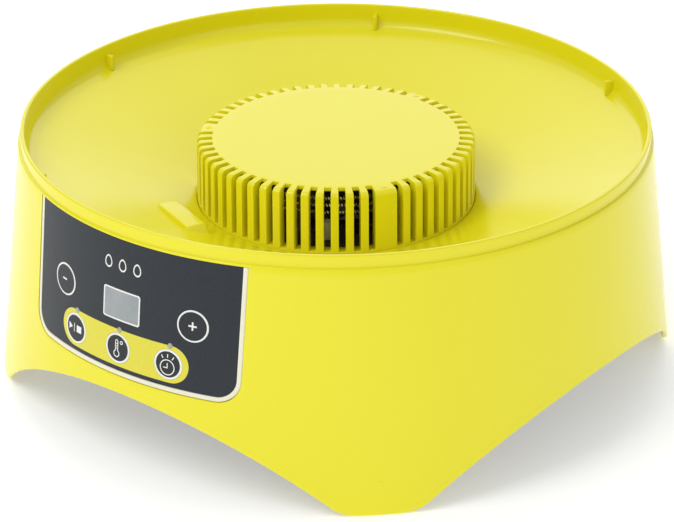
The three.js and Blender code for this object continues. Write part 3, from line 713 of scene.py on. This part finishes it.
def make_bezel():
    """Cream border strip with rounded edges, and the backing plate behind the film."""
    half, bottom, corner = BORDER
    width = 2.3
    top = PANEL_TOP - GAP
    path = [(-half, top, 1, 0), (-half, 110.0, 1, 0), (-half, 90.0, 1, 0), (-half, 75.0, 1, 0)]
    for i in range(17):
        a = math.radians(180 + 90 * i / 16)
        path.append((-half + corner + corner * math.cos(a), bottom + corner + corner * math.sin(a),
                     -math.cos(a), -math.sin(a)))
    for i in range(1, 40):
        path.append((lerp(-half + corner, half - corner, i / 40), bottom, 0, 1))
    for i in range(17):
        a = math.radians(270 + 90 * i / 16)
        path.append((half - corner + corner * math.cos(a), bottom + corner + corner * math.sin(a),
                     -math.cos(a), -math.sin(a)))
    path += [(half, 75.0, -1, 0), (half, 90.0, -1, 0), (half, 110.0, -1, 0), (half, top, -1, 0)]
    section = [(0, 1.4), (0, 0.75), (0.1, 0.45), (0.35, 0.3), (0.8, 0.25), (width - 0.8, 0.25),
               (width - 0.35, 0.3), (width - 0.1, 0.42), (width, 0.6), (width, 1.4)]
    rows = [[cone_point(x + nx * u, z + nz * u, depth) for u, depth in section]
            for x, z, nx, nz in path]
    bm = bmesh.new()
    grid = skin(bm, rows)
    bm.faces.new(grid[0])
    bm.faces.new(grid[-1])
    sheet(bm, [panel_outline((64.6, 54.5, 11.7), PLATE_TOP)] + panel_holes(GAP), 1.35, 3.0, 5.0)
    bezel = piece("bezel_frame", bm, [FINISH["cream_plastic"]], 50.0)
    return declare(bezel, "base", "cream_plastic", "panel_bezel")


def print_layers(bm):
    """Printing on the film: the yellow field round the lower keys."""
    top, bottom = FILM_DEPTH - 0.03, FILM_DEPTH + 0.1
    field_top, field_bottom, half = 77.6, 58.7, 40.3
    radius = (field_top - field_bottom) / 2
    edge = []                     # the upper edge dips under each lamp lens
    for x in sorted(LAMPS.values(), reverse=True):
        edge += arc(x, LAMP_Z, LAMP_R + FILM_GAP, 4, -184, 14)
    left, right = FIELD_X - half + radius, FIELD_X + half - radius
    middle = field_bottom + radius
    field = arc(right, middle, radius, -90, 90, 20) + edge + arc(left, middle, radius, 90, 270, 20)
    lower = [circle(x, z, r + FILM_GAP, 56) for x, z, r in KEYS.values() if z < 80]
    sheet(bm, [field] + lower, top, bottom, 2.0, material=1)


def egg(cx, cz, height):
    """Plain egg outline, blunt end down."""
    points = []
    for i in range(40):
        a = 2 * math.pi * i / 40
        wide = 0.36 * height * (1 - 0.16 * math.sin(a))
        points.append((cx + wide * math.cos(a), cz + height / 2 * math.sin(a)))
    return points


def make_film():
    bm = bmesh.new()
    sheet(bm, [panel_outline(FILM, PANEL_TOP - 0.05)] + panel_holes(FILM_GAP), FILM_DEPTH, 1.5, 2.0)
    print_layers(bm)
    for k in (-1, 0, 1):
        x = k * EGG_PITCH
        sheet(bm, [egg(x, EGG_Z, EGG_HEIGHT), egg(x, EGG_Z, EGG_HEIGHT - 2 * EGG_LINE)],
              FILM_DEPTH - 0.03, FILM_DEPTH + 0.1, 3.0, material=2)
    film = piece("film_overlay", bm, [FINISH["panel_film"], YELLOW_PRINT, WHITE_PRINT])
    return declare(film, "base", "panel_film", "panel_overlay")


def icon_loops(name, x, z):
    """Generic pictograms, as regions of one or more loops."""
    if name == "minus":
        return [[stroke(x - 2.3, z, x + 0.9, z, 0.85)]]
    if name == "plus":
        w, a = 0.42, 2.1
        return [[[(x - w, z - a), (x + w, z - a), (x + w, z - w), (x + a, z - w), (x + a, z + w),
                  (x + w, z + w), (x + w, z + a), (x - w, z + a), (x - w, z + w), (x - a, z + w),
                  (x - a, z - w), (x - w, z - w)]]]
    if name == "start_stop":
        return [[[(x - 5.2, z - 1.8), (x - 2.5, z), (x - 5.2, z + 1.8)]],
                [stroke(x - 1.2, z - 2.2, x - 1.2, z + 2.2, 0.45)],
                [rectangle(x + 2.4, z, 1.75, 1.75)]]
    if name == "temperature":
        tube = arc(x - 0.6, z + 3.4, 0.95, 0, 180, 8)
        bulb = arc(x - 0.6, z - 2.9, 1.9, 120, 420, 22)
        inner_tube = arc(x - 0.6, z + 3.4, 0.5, 0, 180, 8)
        inner_bulb = arc(x - 0.6, z - 2.9, 1.4, 110, 430, 22)
        return [[tube + bulb, inner_tube + inner_bulb],
                [circle(x + 2.3, z + 3.3, 0.95, 20), circle(x + 2.3, z + 3.3, 0.5, 20)],
                [stroke(x - 0.9, z + 2.2, x - 0.1, z + 2.2, 0.4)],
                [stroke(x - 0.9, z + 1.0, x - 0.1, z + 1.0, 0.4)],
                [stroke(x - 0.9, z - 0.2, x - 0.1, z - 0.2, 0.4)]]
    middle = z - 1.6
    regions = [[circle(x - 0.3, middle, 4.0, 40), circle(x - 0.3, middle, 3.5, 40)],
               [stroke(x - 0.3, middle - 0.5, x - 0.3, middle + 2.2, 0.5)],
               [stroke(x - 2.4, middle - 0.25, x - 0.56, middle - 0.25, 0.5)]]
    for degrees in (60, 90, 120):
        a = math.radians(degrees)
        regions.append([stroke(x - 0.3 + 4.9 * math.cos(a), middle + 4.9 * math.sin(a),
                               x - 0.3 + 6.7 * math.cos(a), middle + 6.7 * math.sin(a), 0.5)])
    return regions


def make_key(name, x, z, r):
    stem = BOARD_DEPTH - 5.0 - face_drop(x, z)
    ring = 0.85 if z > 80 else 1.05
    face, raised = KEY_FACE, KEY_FACE - 0.03
    profile = [(0.4 * r, face), (0.75 * r, face), (r - ring - 0.04, face), (r - ring, raised),
               (r - 0.14, raised), (r - 0.03, face), (r, face + 0.12), (r, 3.4), (r + 0.7, 3.5),
               (r + 0.7, 4.4), (1.6, 4.5), (1.6, stem)]
    bm = bmesh.new()
    cone_disc(bm, x, z, profile, 64, rings=(3, 4, 5, 6))
    for loops in icon_loops(name, x, z):
        sheet(bm, loops, raised, face + 0.1, 2.5, material=1)
    key = piece(f"key_cap_{name}", bm, [FINISH["key_plastic"], WHITE_PRINT], 40.0)
    return declare(key, f"key_{name}_body", "key_plastic", f"key_{name}")


def make_window():
    half_x, half_z, z, corner = WINDOW
    bm = bmesh.new()
    sheet(bm, [rectangle(0, z, half_x, half_z, corner)], 0.45, 3.0, 2.0)
    sheet(bm, [rectangle(0, z, half_x - 0.02, half_z - 0.02, corner),
               rectangle(0, z, half_x - 0.8, half_z - 0.8, corner - 0.6)], 0.42, 0.6, 2.0, material=1)
    window = piece("display_lens", bm, [FINISH["smoked_window"], WHITE_PRINT])
    declare(window, "base", "smoked_window", "display_window")


def make_lamps():
    for name, x in LAMPS.items():
        end = BOARD_DEPTH - 1.6 - face_drop(x, LAMP_Z)
        profile = [(0.3, 0.28), (0.8, 0.3), (1.1, 0.36), (LAMP_R, 0.5), (LAMP_R, end - 3.0),
                   (2.0, end - 2.9), (2.0, end)]
        bm = bmesh.new()
        cone_disc(bm, x, LAMP_Z, profile, 24)
        lamp = piece(f"lamp_lens_{name}", bm, [FINISH["light_pipe"]], 40.0)
        declare(lamp, "base", "light_pipe", f"light_guide_{name}")


# ------------------------------------------------------------------ underside and rear

def flat_point(x, y, depth):
    return Vector((x, y, depth))


def make_cover():
    """Bottom cover: a disc with radial air slots, screw holes and an upturned edge."""
    loops = [circle(0, 0, COVER_R - 1.0, 180)]
    for i in range(18):
        a = math.radians(i * 20 + 10)
        turn = Matrix.Rotation(a, 2)
        slot = rectangle(0, -36, 1.9, 14, 1.85, 5)
        loops.append([tuple(turn @ Vector(p)) for p in slot])
    for azimuth in LEGS:
        hole = polar(BOSS_R, azimuth, 0)
        loops.append(circle(hole.x, hole.y, 4.3, 32))
    bm = bmesh.new()
    sheet(bm, loops, COVER_Z, COVER_Z + COVER_THICK, 12.0, place=flat_point)
    for azimuth in LEGS:
        hole = polar(BOSS_R, azimuth, 0)
        rings = [(2.1, COVER_Z + 0.9), (4.35, COVER_Z + 0.9), (4.35, COVER_Z + COVER_THICK + 0.2),
                 (2.1, COVER_Z + COVER_THICK + 0.2)]
        rows = [[hole + polar(r, 360.0 * i / 32, z) for i in range(32)] for r, z in rings]
        skin(bm, rows, wrap_rows=True)
    edge = [(COVER_R - 2.2, COVER_Z + 0.1), (COVER_R - 0.8, COVER_Z), (COVER_R - 0.2, COVER_Z + 0.3),
            (COVER_R, COVER_Z + 0.9), (COVER_R, COVER_Z + 5.6), (COVER_R - 0.4, COVER_Z + 6.0),
            (COVER_R - 2.2, COVER_Z + 6.0)]
    skin(bm, [[polar(r, 2.0 * i, z) for i in range(180)] for r, z in edge], wrap_rows=True)
    for r in (58.0, 96.0):
        ring = [(r - 1.0, COVER_Z + 0.4), (r - 0.8, COVER_Z), (r + 0.8, COVER_Z),
                (r + 1.0, COVER_Z + 0.4)]
        skin(bm, [[polar(q, 3.0 * i, z) for i in range(120)] for q, z in ring], wrap_rows=True)
    cover = piece("base_cover", bm, [FINISH["black_plastic"]])
    apply_modifier(cover, "BEVEL", width=0.3 * MM, segments=2, limit_method="ANGLE",
                   angle_limit=math.radians(50))
    declare(cover, "base", "black_plastic", "bottom_cover")


def make_feet():
    profile = [(0.6, 0.0), (4.6, 0.0), (5.1, 0.15), (5.4, 0.5), (5.4, 0.95), (5.15, 1.3),
               (2.2, 1.3), (2.1, 1.5), (2.1, 6.7), (1.7, 7.0), (0.1, 7.0)]
    for k, azimuth in enumerate(LEGS, 1):
        middle = polar(FOOT_R, azimuth, 0)
        bm = bmesh.new()
        revolve(bm, profile, 40, (middle.x, middle.y))
        foot = piece(f"foot_pad_{k}", bm, [FINISH["rubber"]])
        declare(foot, "base", "rubber", f"rubber_foot_{k}")


def make_screws():
    """Pan-head cover screws with a cross recess, heads down."""
    for k, azimuth in enumerate(LEGS, 1):
        middle = polar(BOSS_R, azimuth, 0)
        seat = COVER_Z + 0.6
        profile = [(0.1, seat - 2.2), (1.9, seat - 2.2), (2.9, seat - 1.9), (3.5, seat - 1.3),
                   (3.8, seat - 0.5), (3.8, seat), (1.5, seat), (1.5, seat + 13.4), (0.1, seat + 14)]
        bm = bmesh.new()
        revolve(bm, profile, 40, (middle.x, middle.y))
        screw = piece(f"case_screw_{k}", bm, [FINISH["screw_steel"]])
        cross = rounded_blocks("cross", [((2.0, 0.35, 0.9), (BOSS_R, seat - 2.2), azimuth)], 0.05, 1)
        combine(screw, cross, "DIFFERENCE")
        cross = rounded_blocks("cross", [((0.35, 2.0, 0.9), (BOSS_R, seat - 2.2), azimuth)], 0.05, 1)
        combine(screw, cross, "DIFFERENCE")
        screw.data.set_sharp_from_angle(angle=math.radians(34))
        declare(screw, "base", "screw_steel", f"cover_screw_{k}")


def make_gland():
    """Strain-relief bush at the rear: a plain sleeve with a rounded flange outside."""
    profile = [(3.2, 160.1), (5.0, 160.1), (5.3, 160.5), (5.3, 168.9), (7.1, 168.95), (7.5, 169.2),
               (7.4, 169.6), (6.9, 169.85), (5.6, 169.9), (4.2, 169.9), (3.5, 169.7), (3.2, 169.2)]
    turns = [2 * math.pi * i / 48 for i in range(48)]
    rows = [[Vector((r * math.cos(a), y, GLAND_Z + r * math.sin(a))) for a in turns]
            for r, y in profile]
    bm = bmesh.new()
    skin(bm, rows, wrap_rows=True)
    gland = piece("cord_bush", bm, [FINISH["black_plastic"]])
    declare(gland, "base", "black_plastic", "cord_gland")


# ------------------------------------------------------------------ camera, floor and light

CAMERA_PLACE = (0.79223, -1.00341, 0.68550)    # metres
CAMERA_ANGLES = (38.279, 26.477, -0.2596)      # azimuth, elevation and roll, degrees
CAMERA_LENS = 146.05                           # focal length, millimetres


def make_studio():
    bm = bmesh.new()
    skin(bm, [[Vector((x, y, 0)) for x in (-9000, 9000)] for y in (-9000, 9000)],
         wrap_columns=False)
    piece("studio_floor", bm, [FLOOR_FINISH])

    azimuth, elevation, roll = (math.radians(d) for d in CAMERA_ANGLES)
    back = Vector((math.sin(azimuth) * math.cos(elevation),
                   -math.cos(azimuth) * math.cos(elevation), math.sin(elevation)))
    right = Vector((math.cos(azimuth), math.sin(azimuth), 0))
    up = back.cross(right)
    tilted_right = right * math.cos(roll) + up * math.sin(roll)
    tilted_up = up * math.cos(roll) - right * math.sin(roll)
    data = bpy.data.cameras.new("camera")
    data.lens = CAMERA_LENS
    data.sensor_width = 36.0
    camera = bpy.data.objects.new("camera", data)
    turn = Matrix((tilted_right, tilted_up, back)).transposed().to_4x4()
    camera.matrix_world = Matrix.Translation(CAMERA_PLACE) @ turn
    bpy.context.scene.collection.objects.link(camera)
    bpy.context.scene.camera = camera

    world = bpy.data.worlds.new("studio")
    world.use_nodes = True
    background = world.node_tree.nodes["Background"]
    background.inputs["Color"].default_value = (1.0, 1.0, 1.0, 1)
    background.inputs["Strength"].default_value = 0.6
    bpy.context.scene.world = world
    bpy.context.scene.view_settings.view_transform = "Standard"

    lights = [
        ("front_softbox", (-0.4, -1.2, 1.7), 1.1, 13.0),
        ("right_softbox", (1.7, -0.3, 0.9), 1.1, 1.5),
        ("back_softbox", (-0.95, 1.25, 1.05), 2.2, 13.0),
    ]
    for name, place, size, power in lights:
        lamp = bpy.data.lights.new(name, "AREA")
        lamp.shape = "SQUARE"
        lamp.size = size
        lamp.energy = power
        obj = bpy.data.objects.new(name, lamp)
        obj.location = place
        aim = Vector((0, 0, 0.06)) - Vector(place)
        obj.rotation_euler = aim.to_track_quat("-Z", "Y").to_euler()
        bpy.context.scene.collection.objects.link(obj)


# ------------------------------------------------------------------ put together

make_studio()
for entry in frame["record"]["subparts"]:
    mesh = NODES[entry["node"]].data
    mesh.materials.clear()
    mesh.materials.append(FINISH[entry["material_slot"]])

make_housing()
make_grille()
make_coil()
make_bezel()
make_film()
make_window()
make_lamps()
for key_name, key_place in KEYS.items():
    make_key(key_name, *key_place)
make_cover()
make_feet()
make_screws()
make_gland()
